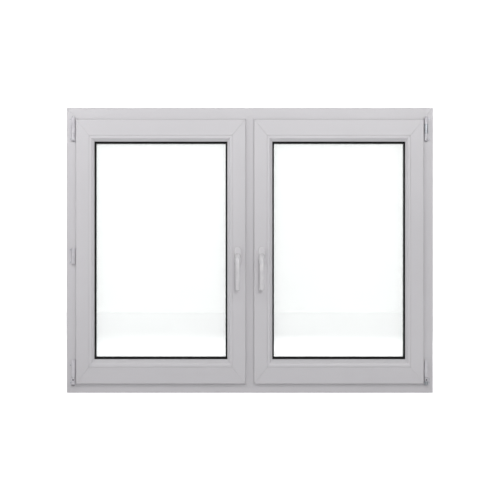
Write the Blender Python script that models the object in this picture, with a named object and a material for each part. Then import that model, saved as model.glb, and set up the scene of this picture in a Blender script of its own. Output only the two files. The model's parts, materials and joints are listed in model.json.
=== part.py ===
"""A white two-sash casement window: welded frame with a fixed mullion and two inward-opening sashes.

The left sash only turns. The right sash turns, and it tilts at its bottom edge on a stay arm.
Metres, +X to the right seen from the room, +Z up, the room on the -Y side. The origin is the centre
of the frame's bottom face. A profile is given as (u, y, fillet radius), u being the distance inward
from the outer edge of its ring of four mitred bars.
"""

import math
from collections import namedtuple

import bmesh
import bpy
from mathutils import Matrix, Vector

# Frame
WIDTH = 1.465
HEIGHT = 1.140
DEPTH = 0.070
ROOM_FACE = -DEPTH / 2
WEATHER_FACE = DEPTH / 2
GROUND = 0.047
STOP_HEIGHT = 0.020
STOP_FACE = 0.013
HEAD_RATIO = 7 / 6
SILL_RATIO = 1.0
MULLION_HALF = 0.024
STOP_GROOVE = (0.0142, 0.0178)
ANCHOR_GROOVE = (0.021, 0.027)
GROOVE_DEPTH = 0.003
NOTCH_MARGIN = 0.004
NOTCH_DEPTH = 0.2

# Sashes: the room face stands proud of the frame, and a lip laps over it
SASH_HINGE_EDGE = 0.6955
SASH_LOCK_EDGE = 0.0162
SASH_BOTTOM = 0.036
SASH_TOP = 1.0945
SASH_FACE = -0.049
LIP_BACK = -0.038
SASH_BACK = 0.010
LIP_WIDTH = 0.020
STILE_FACE = 0.054
TOP_RAIL_RATIO = 66 / 54
BOTTOM_RAIL_RATIO = 68 / 54
WEATHER_LIP = 0.078
WEATHER_LIP_FACE = 0.002

# Hardware groove in the sash edge
GROOVE_MIDDLE = -0.023
PLATE_SEAT = 0.003
ROD_CHANNEL = 0.007
SEAT_HALF = 0.008
CHANNEL_HALF = 0.006

# Glazing: distances inward from the sash's edge, the bead's outer edge for bead and gasket
BEAD_TOP_RATIO = 1.18
BEAD_BOTTOM_RATIO = 1.54
BEAD_WIDTH = 0.020
BEAD_FACE = -0.0486
BEAD_SHOULDER = 0.0085
BEAD_TOE = -0.0360
BEAD_BACK = -0.025
PANE_EDGE = 0.059
INNER_PANE = (-0.022, -0.018)
OUTER_PANE = (-0.0021, 0.0017)
SPACER_EDGES = (0.061, 0.070)
GASKET_ROOT = 0.012
GASKET_LIP = -0.0275
GASKET_REACH = 0.0265

# Hinges
HINGE_X = 0.7050
HINGE_Y = -0.046
BARREL_RADIUS = 0.0070
PIN_RADIUS = 0.003
PIN_HOLE_RADIUS = 0.00325
PLATE_X = (0.001, 0.0155)
PLATE_FACE = -0.0376
WEB_X = (0.001, 0.0072)
WEB_Y = (-0.046, -0.0365)
TOP_HINGE = (1.008, 1.036, 1.075, 1.101)
MIDDLE_HINGE = (0.516, 0.547, 0.579)
BOTTOM_HINGE = (0.0335, 0.0465, 0.0625, 0.0644, 0.132)
TILT_Z = 0.039
STRAP_Y = (-0.0377, -0.0353)
STRAP_BACK = -0.014
STRAP_THICKNESS = 0.0023
COVER_HALF = 0.0074
COVER_ROUND = 0.004
TRUNNION_RADIUS = 0.0026
PIN_HEAD_RADIUS = 0.0055
SEAL_GAP_REACH = (0.005, -0.010)

# Handle, gearbox and locking rod
SPINDLE_X = 0.048
SPINDLE_Z = 0.547
SPINDLE_SIDE = 0.007
ROSETTE_SIZE = (0.028, 0.074)
ROSETTE_FRONT = -0.0593
ROSETTE_STEPS = ((0.0, 0.0), (0.0, 0.0065), (0.0008, 0.0086))
ROSETTE_INSET = 0.0030
LEVER_LENGTH = 0.139
NECK_LENGTH = 0.0115
NECK_RADIUS = 0.012
BEND_RADIUS = 0.026
BEND_STEPS = 6
GRIP_HALF_WIDTH = (0.0086, 0.0078)
GRIP_HALF_THICKNESS = (0.0068, 0.0056)
GRIP_BOW = 0.0035
SOCKET_Y = (-0.0743, -0.0573)
SPINDLE_Y = (-0.0738, -0.0178)
GEARBOX_X = (0.0275, 0.0450)
GEARBOX_HALF_LENGTH = 0.058
GEARBOX_HALF_DEPTH = 0.0055
POCKET_X = (0.0255, 0.0460)
POCKET_HALF_DEPTH = 0.0058
POCKET_MARGIN = 0.002
FOLLOWER_RADIUS = 0.0053
SPINDLE_HOLE_RADIUS = 0.0065

# Lock: distances along X are taken from the sash's hardware edge, or from the mullion's side
ROD_TRAVEL = 0.018
FACEPLATE_Z = (0.120, 1.020)
ROD_X = (0.0034, 0.0060)
ROD_Z = (0.130, 0.985)
ROD_HALF = 0.005
CAM_HEIGHTS = (0.170, 0.960)
CAM_RADIUS = 0.0035
CAM_ROOT = 0.0050
CAM_NECK = 0.0045
CAM_TIP = 0.0070
CAM_HEAD_RADIUS = 0.0047
CAM_SLOT_HALF = 0.0042
KEEPER_HEIGHT = 0.0078
KEEPER_FLOOR = 0.0040
KEEPER_HALF = 0.0051
KEEPER_LIP = 0.0016
KEEPER_BACK = 0.012
KEEPER_END = 0.022

# Stay arm of the tilting sash
STAY_LENGTH = 0.350
STAY_Z = (1.0720, 1.0743)
STAY_END = 0.008
STAY_Y = (-0.030, -0.016)
STAY_SHOULDER = (0.0100, 0.0200)
STUD_RADIUS = 0.003
STUD_Z = 1.0632

# Clearances and facets
GAP = 0.0003
MITRE_GAP = 0.0002
WELD_HALF = 0.0015
WELD_DEPTH = 0.0004
ARC_STEPS = 4
ROUND_STEPS = 20
LEVER_STEPS = 16
SMOOTH_ANGLE = math.radians(35)

UPVC_WHITE = (0.66, 0.65, 0.67)
Ring = namedtuple("Ring", "left right bottom top bottom_ratio top_ratio")

FRAME_RING = Ring(-WIDTH / 2, WIDTH / 2, 0.0, HEIGHT, SILL_RATIO, HEAD_RATIO)
BAR_ORDER = ("bottom", "right", "top", "left")


# Scene, materials and placing

def clear_scene():
    for obj in list(bpy.data.objects):
        bpy.data.objects.remove(obj, do_unlink=True)


def material(name, colour, roughness, metallic=0.0):
    """A Principled material, made once and then shared."""
    found = bpy.data.materials.get(name)
    if found:
        return found
    made = bpy.data.materials.new(name)
    made.use_nodes = True
    shader = made.node_tree.nodes["Principled BSDF"]
    shader.inputs["Base Color"].default_value = (*colour, 1.0)
    shader.inputs["Roughness"].default_value = roughness
    shader.inputs["Metallic"].default_value = metallic
    return made


def upvc():
    return material("white_upvc", UPVC_WHITE, 0.32)


def coated_metal():
    return material("white_coated_metal", (0.72, 0.71, 0.73), 0.28)


def zinc_steel():
    return material("zinc_plated_steel", (0.62, 0.63, 0.65), 0.35, 1.0)


def seal_rubber():
    return material("black_epdm", (0.012, 0.012, 0.013), 0.55)


def glass():
    return material("float_glass", (0.86, 0.91, 0.89), 0.02)


def spacer_metal():
    return material("spacer_aluminium", (0.50, 0.51, 0.53), 0.40, 1.0)


def pivot(name, location):
    """An empty on a joint's axis, which carries the pieces of one moving body."""
    empty = bpy.data.objects.new(name, None)
    empty.location = location
    bpy.context.scene.collection.objects.link(empty)
    return empty


def add_object(name, mesh_data, finish, parent):
    """Links a mesh built in world coordinates, with its origin moved to its parent's place."""
    mesh = bpy.data.meshes.new(name)
    bmesh.ops.recalc_face_normals(mesh_data, faces=mesh_data.faces)
    mesh_data.to_mesh(mesh)
    mesh_data.free()
    mesh.shade_smooth()
    mesh.set_sharp_from_angle(angle=SMOOTH_ANGLE)
    obj = bpy.data.objects.new(name, mesh)
    if finish:
        mesh.materials.append(finish)
    bpy.context.scene.collection.objects.link(obj)
    if parent:
        mesh.transform(Matrix.Translation(-parent.location))
        obj.parent = parent
    return obj


def helper(obj):
    """Marks an object as a tool of a Boolean, so that it isn't part of the window."""
    obj.hide_render = True
    obj.display_type = "WIRE"
    return obj


def boolean(target, tool, operation):
    modifier = target.modifiers.new(operation.lower() + "_" + tool.name, "BOOLEAN")
    modifier.operation = operation
    modifier.solver = "EXACT"
    modifier.object = helper(tool)


def cut(target, *tools):
    for tool in tools:
        boolean(target, tool, "DIFFERENCE")


def join(target, *tools):
    for tool in tools:
        boolean(target, tool, "UNION")


# Outlines and solids

def filleted(corners):
    """The outline through (a, b, radius) corners, with an arc at each corner that has a radius."""
    outline = []
    count = len(corners)
    for index, (a, b, radius) in enumerate(corners):
        here = Vector((a, b))
        if radius == 0:
            outline.append(here)
            continue
        before = (Vector(corners[index - 1][:2]) - here).normalized()
        after = (Vector(corners[(index + 1) % count][:2]) - here).normalized()
        half = before.angle(after) / 2
        centre = here + (before + after).normalized() * (radius / math.sin(half))
        start = here + before * (radius / math.tan(half)) - centre
        end = here + after * (radius / math.tan(half)) - centre
        for step in range(ARC_STEPS + 1):
            outline.append(centre + start.slerp(end, step / ARC_STEPS).normalized() * radius)
    return outline


def circle(a, b, radius, steps=ROUND_STEPS):
    turns = [2 * math.pi * step / steps for step in range(steps)]
    return [Vector((a + radius * math.cos(turn), b + radius * math.sin(turn))) for turn in turns]


def skin(loops, closed=False, ridge=0):
    """A mesh through matching loops of points: capped at both ends, or closed round into a ring.

    A cap with a ridge is two faces, which meet on the line from its first point to that point.
    """
    mesh_data = bmesh.new()
    rows = [[mesh_data.verts.new(point) for point in loop] for loop in loops]
    pairs = list(zip(rows, rows[1:]))
    if closed:
        pairs.append((rows[-1], rows[0]))
    for near, far in pairs:
        for index in range(len(near)):
            after = (index + 1) % len(near)
            mesh_data.faces.new((near[index], near[after], far[after], far[index]))
    if not closed:
        for cap in (rows[0], rows[-1]):
            halves = (cap[: ridge + 1], cap[ridge:] + cap[:1]) if ridge else (cap,)
            for face in halves:
                mesh_data.faces.new(face)
    return mesh_data


def prism(name, outline, axis, low, high, finish=None, parent=None):
    """A straight solid: the outline lies across the axis, in the other two coordinates in order."""
    position = "XYZ".index(axis)

    def point(flat, along):
        values = [flat[0], flat[1]]
        values.insert(position, along)
        return Vector(values)

    loops = [[point(flat, along) for flat in outline] for along in (low, high)]
    return add_object(name, skin(loops), finish, parent)


def box(name, x, y, z, finish=None, parent=None):
    """A box between the values of each pair, whichever of the two is the lower."""
    outline = [Vector((x[0], y[0])), Vector((x[1], y[0])), Vector((x[1], y[1])), Vector((x[0], y[1]))]
    return prism(name, outline, "Z", min(z), max(z), finish, parent)


def rod(name, axis, centre, radius, low, high, finish=None, parent=None):
    return prism(name, circle(*centre, radius), axis, low, high, finish, parent)


# Rings of four mitred bars

def corners_at(ring, u):
    """Corners of the loop that lies u inside the ring, from the bottom left, anticlockwise."""
    left = ring.left + u
    right = ring.right - u
    bottom = ring.bottom + u * ring.bottom_ratio
    top = ring.top - u * ring.top_ratio
    return [(left, bottom), (right, bottom), (right, top), (left, top)]


def inset_ring(ring, u):
    (left, bottom), _, (right, top), _ = corners_at(ring, u)
    return ring._replace(left=left, right=right, bottom=bottom, top=top)


def mitred_bar(name, ring, outline, place, face, finish, parent=None):
    """One bar of a ring, cut on the mitre planes, with a shallow groove along each weld."""
    index = BAR_ORDER.index(place)

    def loop(start, inset, sink):
        points = []
        for u, y in outline:
            corners = [Vector((x, 0, z)) for x, z in corners_at(ring, u)]
            first = corners[index]
            last = corners[(index + 1) % 4]
            along = (last - first).normalized() * inset
            point = first + along if start else last - along
            point.y = y + (sink if y < face + WELD_DEPTH else 0)
            points.append(point)
        return points

    loops = [
        loop(True, MITRE_GAP, WELD_DEPTH),
        loop(True, WELD_HALF, 0),
        loop(False, WELD_HALF, 0),
        loop(False, MITRE_GAP, WELD_DEPTH),
    ]
    return add_object(name, skin(loops), finish, parent)


def whole_ring(name, ring, outline, finish, parent=None):
    """An endless strip, such as a seal, that runs round all four sides."""
    loops = []
    for index in range(4):
        places = [(corners_at(ring, u)[index], y) for u, y in outline]
        loops.append([Vector((x, y, z)) for (x, z), y in places])
    return add_object(name, skin(loops, closed=True), finish, parent)


# Frame

def stop_corners(ground):
    """A bar's section from the room face round its ground, seal groove and stop to the weather face."""
    stop = ground + STOP_HEIGHT
    groove = [ground + edge for edge in STOP_GROOVE]
    sunk = STOP_FACE + GROOVE_DEPTH
    corners = [(ground, ROOM_FACE, 0.003), (ground, STOP_FACE, 0)]
    corners += [(groove[0], STOP_FACE, 0), (groove[0], sunk, 0)]
    corners += [(groove[1], sunk, 0), (groove[1], STOP_FACE, 0)]
    return corners + [(stop, STOP_FACE, 0.001), (stop, WEATHER_FACE, 0.004)]


def frame_outline():
    """Outer face with two anchor grooves, rebate ground, and a stop that holds the seal."""
    near, far = ANCHOR_GROOVE
    corners = [(0, ROOM_FACE, 0.002)] + stop_corners(GROUND) + [(0, WEATHER_FACE, 0.002)]
    for first, second in ((far, near), (-near, -far)):
        corners += [(0, first, 0), (GROOVE_DEPTH, first, 0), (GROOVE_DEPTH, second, 0), (0, second, 0)]
    return filleted(corners)


def v_weld_height(x, ring_edge, ratio, inward):
    """Height of the V-shaped weld between the mullion and a rail, at a distance x from its middle."""
    return ring_edge + inward * ratio * (GROUND - MULLION_HALF + abs(x))


def mullion():
    """A T-section with a stop on each side and a V-shaped tongue at each end."""
    half = [(0, ROOM_FACE, 0)] + stop_corners(MULLION_HALF) + [(0, WEATHER_FACE, 0)]
    right = filleted(half)
    left = [Vector((-point.x, point.y)) for point in reversed(right[1:-1])]
    outline = right + left
    loops = []
    for edge, ratio, inward in ((0.0, SILL_RATIO, 1), (HEIGHT, HEAD_RATIO, -1)):
        clear = inward * GAP
        heights = [v_weld_height(x, edge, ratio, inward) + clear for x, _ in outline]
        loops.append([Vector((x, y, z)) for (x, y), z in zip(outline, heights)])
    return add_object("mullion", skin(loops, ridge=len(right) - 1), upvc(), None)


def notch(name, edge, ratio, inward):
    """The V-shaped room that the mullion's tongue takes in a rail."""
    reach = MULLION_HALF + STOP_HEIGHT + NOTCH_MARGIN
    deep = edge + inward * NOTCH_DEPTH
    sides = [(x, v_weld_height(x, edge, ratio, inward)) for x in (-reach, 0, reach)]
    outline = [Vector(point) for point in sides + [(reach, deep), (-reach, deep)]]
    return prism(name, outline, "Y", -DEPTH, DEPTH)


def frame_seal(name, side):
    """The seal that a closed sash presses on, with its foot in the groove of the stop."""
    mullion_edge = GROUND - MULLION_HALF
    edges = sorted((side * WIDTH / 2, -side * mullion_edge))
    ring = FRAME_RING._replace(left=edges[0], right=edges[1])
    front = SASH_BACK + GAP
    back = STOP_FACE - GAP
    corners = [(0.0595, front + 0.0008, 0), (0.0610, front, 0), (0.0655, front, 0), (0.0655, back, 0)]
    corners += [(0.0645, back, 0), (0.0645, 0.0155, 0), (0.0615, 0.0155, 0), (0.0615, back, 0)]
    corners += [(0.0595, back, 0)]
    return whole_ring(name, ring, filleted(corners), seal_rubber())


def frame():
    names = ("frame_sill", "frame_jamb_right", "frame_head", "frame_jamb_left")
    outline = frame_outline()
    bars = {}
    for place, name in zip(BAR_ORDER, names):
        bars[place] = mitred_bar(name, FRAME_RING, outline, place, ROOM_FACE, upvc())
    mullion()
    cut(bars["bottom"], notch("sill_notch", 0.0, SILL_RATIO, 1))
    cut(bars["top"], notch("head_notch", HEIGHT, HEAD_RATIO, -1))
    frame_seal("frame_seal_left", -1)
    frame_seal("frame_seal_right", 1)


# Sash bars, glazing and seals

def sash_ring(side):
    edges = sorted((side * SASH_HINGE_EDGE, side * SASH_LOCK_EDGE))
    return Ring(edges[0], edges[1], SASH_BOTTOM, SASH_TOP, BOTTOM_RAIL_RATIO, TOP_RAIL_RATIO)


def sash_outline():
    """Lip over the frame, hardware groove in the edge, glazing rebate and weather lip."""
    seat = (GROOVE_MIDDLE - SEAT_HALF, GROOVE_MIDDLE + SEAT_HALF)
    channel = (GROOVE_MIDDLE - CHANNEL_HALF, GROOVE_MIDDLE + CHANNEL_HALF)
    foot = (0.0029, 0.0056)
    corners = [(0, SASH_FACE, 0.004), (STILE_FACE, SASH_FACE, 0.0008)]
    corners += [(STILE_FACE, WEATHER_LIP_FACE, 0), (WEATHER_LIP, WEATHER_LIP_FACE, 0.0006)]
    corners += [(WEATHER_LIP, SASH_BACK, 0.003), (LIP_WIDTH, SASH_BACK, 0.001)]
    corners += [(LIP_WIDTH, seat[1], 0), (LIP_WIDTH + PLATE_SEAT, seat[1], 0)]
    corners += [(LIP_WIDTH + PLATE_SEAT, channel[1], 0), (LIP_WIDTH + ROD_CHANNEL, channel[1], 0)]
    corners += [(LIP_WIDTH + ROD_CHANNEL, channel[0], 0), (LIP_WIDTH + PLATE_SEAT, channel[0], 0)]
    corners += [(LIP_WIDTH + PLATE_SEAT, seat[0], 0), (LIP_WIDTH, seat[0], 0), (LIP_WIDTH, LIP_BACK, 0)]
    corners += [(foot[1], LIP_BACK, 0), (foot[1], LIP_BACK - 0.003, 0)]
    corners += [(foot[0], LIP_BACK - 0.003, 0), (foot[0], LIP_BACK, 0), (0, LIP_BACK, 0.001)]
    return filleted(corners)


def bead_outline():
    """A flat band beside the sash, then a soft shoulder and a slope down to the glass."""
    corners = [(GAP, BEAD_FACE, 0.0008), (BEAD_SHOULDER, BEAD_FACE, 0.005)]
    corners += [(BEAD_WIDTH - GAP, BEAD_TOE, 0.0015)]
    corners += [(BEAD_WIDTH - GAP, BEAD_BACK, 0), (GAP, BEAD_BACK, 0)]
    return filleted(corners)


def gasket_outline():
    front = BEAD_BACK + GAP
    back = INNER_PANE[0] - GAP
    corners = [(GASKET_ROOT, front, 0), (BEAD_WIDTH, front, 0), (BEAD_WIDTH, GASKET_LIP, 0)]
    corners += [(0.0215, GASKET_LIP, 0), (GASKET_REACH, -0.0235, 0)]
    corners += [(GASKET_REACH, back, 0), (GASKET_ROOT, back, 0)]
    return filleted(corners)


def sash_seal_outline():
    front = LIP_BACK + GAP
    back = ROOM_FACE - GAP
    sunk = front - 0.0029
    corners = [(0.0015, front, 0), (0.0032, front, 0), (0.0032, sunk, 0), (0.0053, sunk, 0)]
    corners += [(0.0053, front, 0), (0.0070, front, 0), (0.0070, back - 0.0008, 0), (0.0060, back, 0)]
    corners += [(0.0015, back, 0)]
    return filleted(corners)


def pane(name, ring, depths, parent):
    (left, bottom), _, (right, top), _ = corners_at(ring, PANE_EDGE)
    return box(name, (left, right), depths, (bottom, top), glass(), parent)


def glazing(hand, ring, parent):
    """Two panes and their spacer, the beads that hold them, and the gasket on the room side."""
    pane(hand + "_inner_pane", ring, INNER_PANE, parent)
    pane(hand + "_outer_pane", ring, OUTER_PANE, parent)
    depths = (INNER_PANE[1] + GAP, OUTER_PANE[0] - GAP)
    near, far = SPACER_EDGES
    spacer = [(near, depths[0], 0), (far, depths[0], 0), (far, depths[1], 0), (near, depths[1], 0)]
    whole_ring(hand + "_glass_spacer", ring, filleted(spacer), spacer_metal(), parent)
    bead_ring = inset_ring(ring, STILE_FACE)
    bead_ring = bead_ring._replace(bottom_ratio=BEAD_BOTTOM_RATIO, top_ratio=BEAD_TOP_RATIO)
    for place in BAR_ORDER:
        mitred_bar(f"{hand}_bead_{place}", bead_ring, bead_outline(), place, BEAD_FACE, upvc(), parent)
    whole_ring(hand + "_glazing_gasket", bead_ring, gasket_outline(), seal_rubber(), parent)


def sash(hand, side, parent):
    """The four welded bars, the lock stile's gearbox pocket, the glazing and the lip seal."""
    ring = sash_ring(side)
    hinge_place, lock_place = ("left", "right") if side < 0 else ("right", "left")
    names = {"bottom": "bottom_rail", "top": "top_rail", hinge_place: "hinge_stile", lock_place: "lock_stile"}
    bars = {}
    for place, name in names.items():
        full_name = f"{hand}_sash_{name}"
        bars[place] = mitred_bar(full_name, ring, sash_outline(), place, SASH_FACE, upvc(), parent)
    edge = side * SASH_LOCK_EDGE
    half_length = GEARBOX_HALF_LENGTH + POCKET_MARGIN
    pocket = box(
        hand + "_gearbox_pocket",
        (edge + side * POCKET_X[0], edge + side * POCKET_X[1]),
        (GROOVE_MIDDLE - POCKET_HALF_DEPTH, GROOVE_MIDDLE + POCKET_HALF_DEPTH),
        (SPINDLE_Z - half_length, SPINDLE_Z + half_length),
    )
    centre = (side * SPINDLE_X, SPINDLE_Z)
    hole = rod(hand + "_spindle_hole", "Y", centre, SPINDLE_HOLE_RADIUS, SASH_FACE - DEPTH, GROOVE_MIDDLE)
    cut(bars[lock_place], pocket, hole)
    glazing(hand, ring, parent)
    return whole_ring(hand + "_sash_seal", ring, sash_seal_outline(), seal_rubber(), parent)


# Handle, gearbox and locking rod

def rosette(hand, side, parent):
    """The handle's base plate: a long rounded plate with a stepped, softened edge."""
    centre = (side * SPINDLE_X, SPINDLE_Z)

    def outline(inset):
        half_width = ROSETTE_SIZE[0] / 2 - inset
        half_height = ROSETTE_SIZE[1] / 2 - inset
        radius = half_width * 0.86
        signs = ((-1, -1), (1, -1), (1, 1), (-1, 1))
        corners = [(centre[0] + a * half_width, centre[1] + b * half_height, radius) for a, b in signs]
        return filleted(corners)

    back = SASH_FACE - GAP
    steps = [(inset, back - rise) for inset, rise in ROSETTE_STEPS] + [(ROSETTE_INSET, ROSETTE_FRONT)]
    loops = [[Vector((x, y, z)) for x, z in outline(inset)] for inset, y in steps]
    plate = add_object(hand + "_handle_rosette", skin(loops), coated_metal(), parent)
    ends = (ROSETTE_FRONT - DEPTH, SASH_FACE + DEPTH)
    cut(plate, rod(hand + "_rosette_hole", "Y", centre, SPINDLE_HOLE_RADIUS - GAP, *ends))
    return plate


def lever_stations():
    """(place along Z and Y, half width, half thickness, slope) down the lever, root first.

    The neck leaves the rosette square on, turns through a quarter circle, and runs on as the grip.
    """
    neck_end = ROSETTE_FRONT - NECK_LENGTH
    stations = [(0.0, ROSETTE_FRONT - GAP, NECK_RADIUS, NECK_RADIUS, 0.0)]
    for step in range(BEND_STEPS + 1):
        share = step / BEND_STEPS
        turn = math.pi / 2 * share
        width = NECK_RADIUS + (GRIP_HALF_WIDTH[0] - NECK_RADIUS) * share
        thickness = NECK_RADIUS + (GRIP_HALF_THICKNESS[0] - NECK_RADIUS) * share
        place = (-BEND_RADIUS * (1 - math.cos(turn)), neck_end - BEND_RADIUS * math.sin(turn))
        stations.append((*place, width, thickness, turn))
    for share, scale in ((0.30, 1), (0.62, 1), (0.88, 1), (0.96, 0.86), (0.995, 0.45)):
        bow = GRIP_BOW * math.sin(math.pi * share)
        place = (-BEND_RADIUS - (LEVER_LENGTH - BEND_RADIUS) * share, neck_end - BEND_RADIUS - bow)
        width = GRIP_HALF_WIDTH[0] + (GRIP_HALF_WIDTH[1] - GRIP_HALF_WIDTH[0]) * share
        thickness = GRIP_HALF_THICKNESS[0] + (GRIP_HALF_THICKNESS[1] - GRIP_HALF_THICKNESS[0]) * share
        stations.append((*place, width * scale, thickness * scale, math.pi / 2))
    return stations


def lever(hand, side, parent):
    """The grip, lofted through oval sections, with a square socket for the spindle in its neck."""
    loops = []
    for drop, y, half_width, half_thickness, turn in lever_stations():
        loop = []
        for flat in circle(0.0, 0.0, 1.0, LEVER_STEPS):
            across = half_width * flat.x
            through = half_thickness * flat.y
            offset = Vector((0, -through * math.sin(turn), through * math.cos(turn)))
            loop.append(Vector((side * SPINDLE_X + across, y, SPINDLE_Z + drop)) + offset)
        loops.append(loop)
    grip = add_object(hand + "_handle_lever", skin(loops), coated_metal(), parent)
    half = SPINDLE_SIDE / 2 + GAP
    middle = side * SPINDLE_X
    cut(grip, box(
        hand + "_lever_socket",
        (middle - half, middle + half),
        SOCKET_Y,
        (SPINDLE_Z - half, SPINDLE_Z + half),
    ))
    return grip


def spindle(hand, side, parent):
    half = SPINDLE_SIDE / 2
    middle = side * SPINDLE_X
    across = (middle - half, middle + half)
    upright = (SPINDLE_Z - half, SPINDLE_Z + half)
    return box(hand + "_handle_spindle", across, SPINDLE_Y, upright, zinc_steel(), parent)


def gearbox(hand, side, parent):
    """The lock case that turns the spindle's turn into the rod's travel, let into the lock stile."""
    edge = side * SASH_LOCK_EDGE
    case = box(
        hand + "_gearbox",
        (edge + side * GEARBOX_X[0], edge + side * GEARBOX_X[1]),
        (GROOVE_MIDDLE - GEARBOX_HALF_DEPTH, GROOVE_MIDDLE + GEARBOX_HALF_DEPTH),
        (SPINDLE_Z - GEARBOX_HALF_LENGTH, SPINDLE_Z + GEARBOX_HALF_LENGTH),
        zinc_steel(),
        parent,
    )
    centre = (side * SPINDLE_X, SPINDLE_Z)
    cut(case, rod(hand + "_follower_hole", "Y", centre, FOLLOWER_RADIUS, -DEPTH, DEPTH))
    return case


def rod_travel(side):
    """The tilting sash's handle turns twice as far, so its rod travels twice as far."""
    return ROD_TRAVEL if side < 0 else 2 * ROD_TRAVEL


def faceplate(hand, side, parent):
    """The steel strip that closes the hardware groove, slotted for the rod's cams."""
    edge = side * (SASH_LOCK_EDGE + LIP_WIDTH)
    plate = box(
        hand + "_lock_faceplate",
        (edge + side * GAP, edge + side * (PLATE_SEAT - GAP)),
        (GROOVE_MIDDLE - SEAT_HALF + 0.0004, GROOVE_MIDDLE + SEAT_HALF - 0.0004),
        FACEPLATE_Z,
        zinc_steel(),
        parent,
    )
    for number, height in enumerate(CAM_HEIGHTS):
        cut(plate, box(
            f"{hand}_cam_slot_{number}",
            (edge - side * PLATE_SEAT, edge + side * 2 * PLATE_SEAT),
            (GROOVE_MIDDLE - CAM_SLOT_HALF, GROOVE_MIDDLE + CAM_SLOT_HALF),
            (height - CAM_SLOT_HALF, height + rod_travel(side) + CAM_SLOT_HALF),
        ))
    return plate


def drive_rod(hand, side, parent):
    """The sliding rod behind the faceplate, with two headed cams that lock into the strikers."""
    edge = side * (SASH_LOCK_EDGE + LIP_WIDTH)
    bar = box(
        hand + "_drive_rod",
        (edge + side * ROD_X[0], edge + side * ROD_X[1]),
        (GROOVE_MIDDLE - ROD_HALF, GROOVE_MIDDLE + ROD_HALF),
        ROD_Z,
        zinc_steel(),
        parent,
    )
    for number, height in enumerate(CAM_HEIGHTS):
        centre = (GROOVE_MIDDLE, height)
        root = edge + side * CAM_ROOT
        neck = edge - side * CAM_NECK
        tip = edge - side * CAM_TIP
        shank = rod(f"{hand}_cam_shank_{number}", "X", centre, CAM_RADIUS, *sorted((root, neck)))
        head_ends = sorted((neck + side * GAP, tip))
        head = rod(f"{hand}_cam_head_{number}", "X", centre, CAM_HEAD_RADIUS, *head_ends)
        join(bar, shank, head)
    return bar


def striker(hand, side):
    """The keeper on the mullion: the cam enters at the open mouth and slides behind the lip."""
    ground = side * MULLION_HALF
    height = CAM_HEIGHTS[1]
    top = height + rod_travel(side)
    lip_face = GROOVE_MIDDLE - KEEPER_HALF - KEEPER_LIP
    block = box(
        hand + "_striker",
        (ground + side * GAP, ground + side * KEEPER_HEIGHT),
        (lip_face, GROOVE_MIDDLE + KEEPER_BACK),
        (height - KEEPER_END, top + KEEPER_END),
        zinc_steel(),
    )
    depth = (ground + side * KEEPER_FLOOR, ground + side * 2 * KEEPER_HEIGHT)
    keep = box(
        hand + "_striker_keep",
        depth,
        (GROOVE_MIDDLE - KEEPER_HALF, GROOVE_MIDDLE + KEEPER_HALF),
        (height - KEEPER_HALF, top + KEEPER_HALF),
    )
    mouth = box(
        hand + "_striker_mouth",
        depth,
        (lip_face - KEEPER_LIP, GROOVE_MIDDLE),
        (height + ROD_TRAVEL - KEEPER_HALF, top + KEEPER_HALF),
    )
    cut(block, keep, mouth)
    return block


# Hinges

def barrel(name, side, low, high, finish=None, parent=None):
    centre = (side * HINGE_X, HINGE_Y)
    return rod(name, "Z", centre, BARREL_RADIUS, low, high, finish, parent)


def pin_hole(name, side, low, high):
    return rod(name, "Z", (side * HINGE_X, HINGE_Y), PIN_HOLE_RADIUS, low, high)


def base_plate(name, side, low, high):
    """The plate of a frame bracket, screwed to the frame's face beside the sash."""
    x = [side * (HINGE_X + reach) for reach in PLATE_X]
    return box(name, x, (ROOM_FACE - GAP, PLATE_FACE), (low, high))


def knuckle_web(name, side, low, high):
    x = [side * (HINGE_X + reach) for reach in WEB_X]
    return box(name, x, WEB_Y, (low, high))


def strap_root():
    """The start of a sash leaf's arm, seen from above: out of the barrel and under the lip."""
    neck = HINGE_X - BARREL_RADIUS + 0.001
    return [(HINGE_X, STRAP_Y[1]), (HINGE_X, HINGE_Y), (neck, HINGE_Y), (neck, STRAP_Y[0])]


def leaf_strap(name, side, low, high):
    """The hidden arm of a sash leaf, which runs under the lip and then along the sash edge."""
    near = SASH_HINGE_EDGE - LIP_WIDTH + GAP
    far = near + STRAP_THICKNESS
    corners = strap_root()
    corners += [(near, STRAP_Y[0]), (near, STRAP_BACK), (far, STRAP_BACK), (far, STRAP_Y[1])]
    outline = [Vector((side * x, y)) for x, y in corners]
    return prism(name, outline, "Z", low, high)


def top_bracket(hand, side):
    """Two fixed knuckles on one plate, bored for the pin."""
    low, first, second, high = TOP_HINGE
    bracket = barrel(hand + "_top_hinge_bracket", side, low, first - GAP, coated_metal())
    upper = barrel(hand + "_top_upper_knuckle", side, second + GAP, high)
    plate = base_plate(hand + "_top_plate", side, low + 0.001, high - 0.001)
    webs = [
        knuckle_web(hand + "_top_web_low", side, low + 0.001, first - GAP),
        knuckle_web(hand + "_top_web_high", side, second + GAP, high - 0.001),
    ]
    join(bracket, plate, *webs, upper)
    cut(bracket, pin_hole(hand + "_top_bracket_bore", side, low - 0.01, high + 0.01))
    axis = (side * HINGE_X, HINGE_Y)
    pin = rod(hand + "_top_hinge_pin", "Z", axis, PIN_RADIUS, low - 0.002, high + 0.001, zinc_steel())
    join(pin, rod(hand + "_pin_head", "Z", axis, PIN_HEAD_RADIUS, high + GAP, high + 0.0025))
    return bracket


def top_leaf(parent):
    """The turning sash's top leaf."""
    _, first, second, _ = TOP_HINGE
    leaf = barrel("left_top_hinge_leaf", -1, first + GAP, second - GAP, coated_metal(), parent)
    join(leaf, leaf_strap("left_top_strap", -1, first + 0.004, second - 0.010))
    cut(leaf, pin_hole("left_top_leaf_bore", -1, first - 0.01, second + 0.01))
    return leaf


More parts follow.
